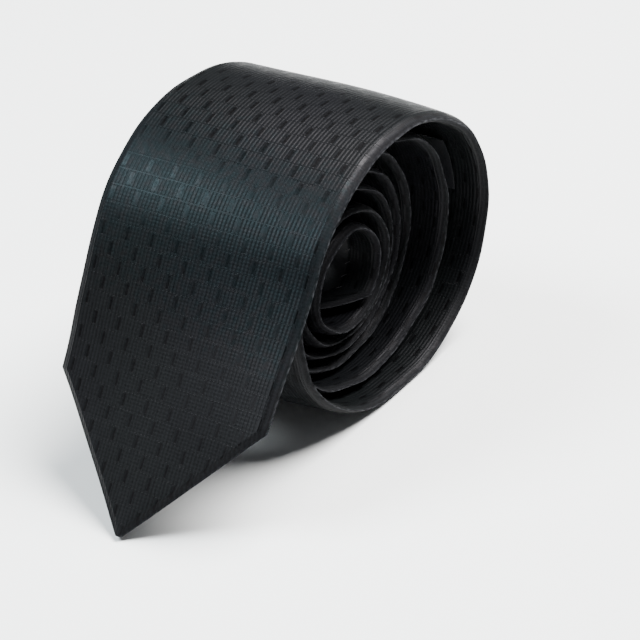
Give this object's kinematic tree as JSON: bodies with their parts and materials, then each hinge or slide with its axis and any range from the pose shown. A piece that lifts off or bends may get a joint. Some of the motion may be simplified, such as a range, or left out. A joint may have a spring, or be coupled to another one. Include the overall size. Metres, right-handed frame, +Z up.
{
  "type": "necktie",
  "caption": "Necktie in dark woven jacquard, rolled up and standing on its edge, with the pointed front blade hanging down in front and free to lift.",
  "frame": {"origin": "centre of the base of the bounding box, on the surface the roll stands on", "axes": "+X across the tie along the roll's axis, -Y the side on which the front blade hangs, +Z up"},
  "size_m": [0.076, 0.1604, 0.0958],
  "materials": {
    "jacquard": "fine ribbed jacquard with a soft silky sheen",
    "tipping": "smooth plain lining",
    "interlining": "brushed wool blend",
    "thread": "twisted sewing thread",
    "maker_label": "plain woven satin, blank",
    "care_label": "plain woven tape, blank"
  },
  "bodies": {
    "blade": {"blade_shell_hanging": "jacquard", "blade_interlining_hanging": "interlining", "blade_tipping": "tipping", "blade_hem_stitches": "thread"},
    "roll": {"blade_shell_rolled": "jacquard", "blade_interlining_rolled": "interlining", "blade_tipping_upper": "tipping", "front_bar_tack": "thread", "keeper_loop": "jacquard", "keeper_tacks": "thread", "maker_label_blank": "maker_label", "care_label_blank": "care_label", "front_seam_thread": "thread", "neck_shell": "jacquard", "rear_seam_thread": "thread", "tail_shell": "jacquard", "tail_interlining": "interlining", "tail_tipping": "tipping", "rear_bar_tack": "thread", "slip_stitch": "thread"}
  },
  "joints": [
    {"name": "blade_lift", "type": "hinge", "parent": "roll", "child": "blade", "pos_m": [0, -0.03629, 0.05728], "axis": [-1, 0, 0], "range_deg": [0, 60]}
  ]
}
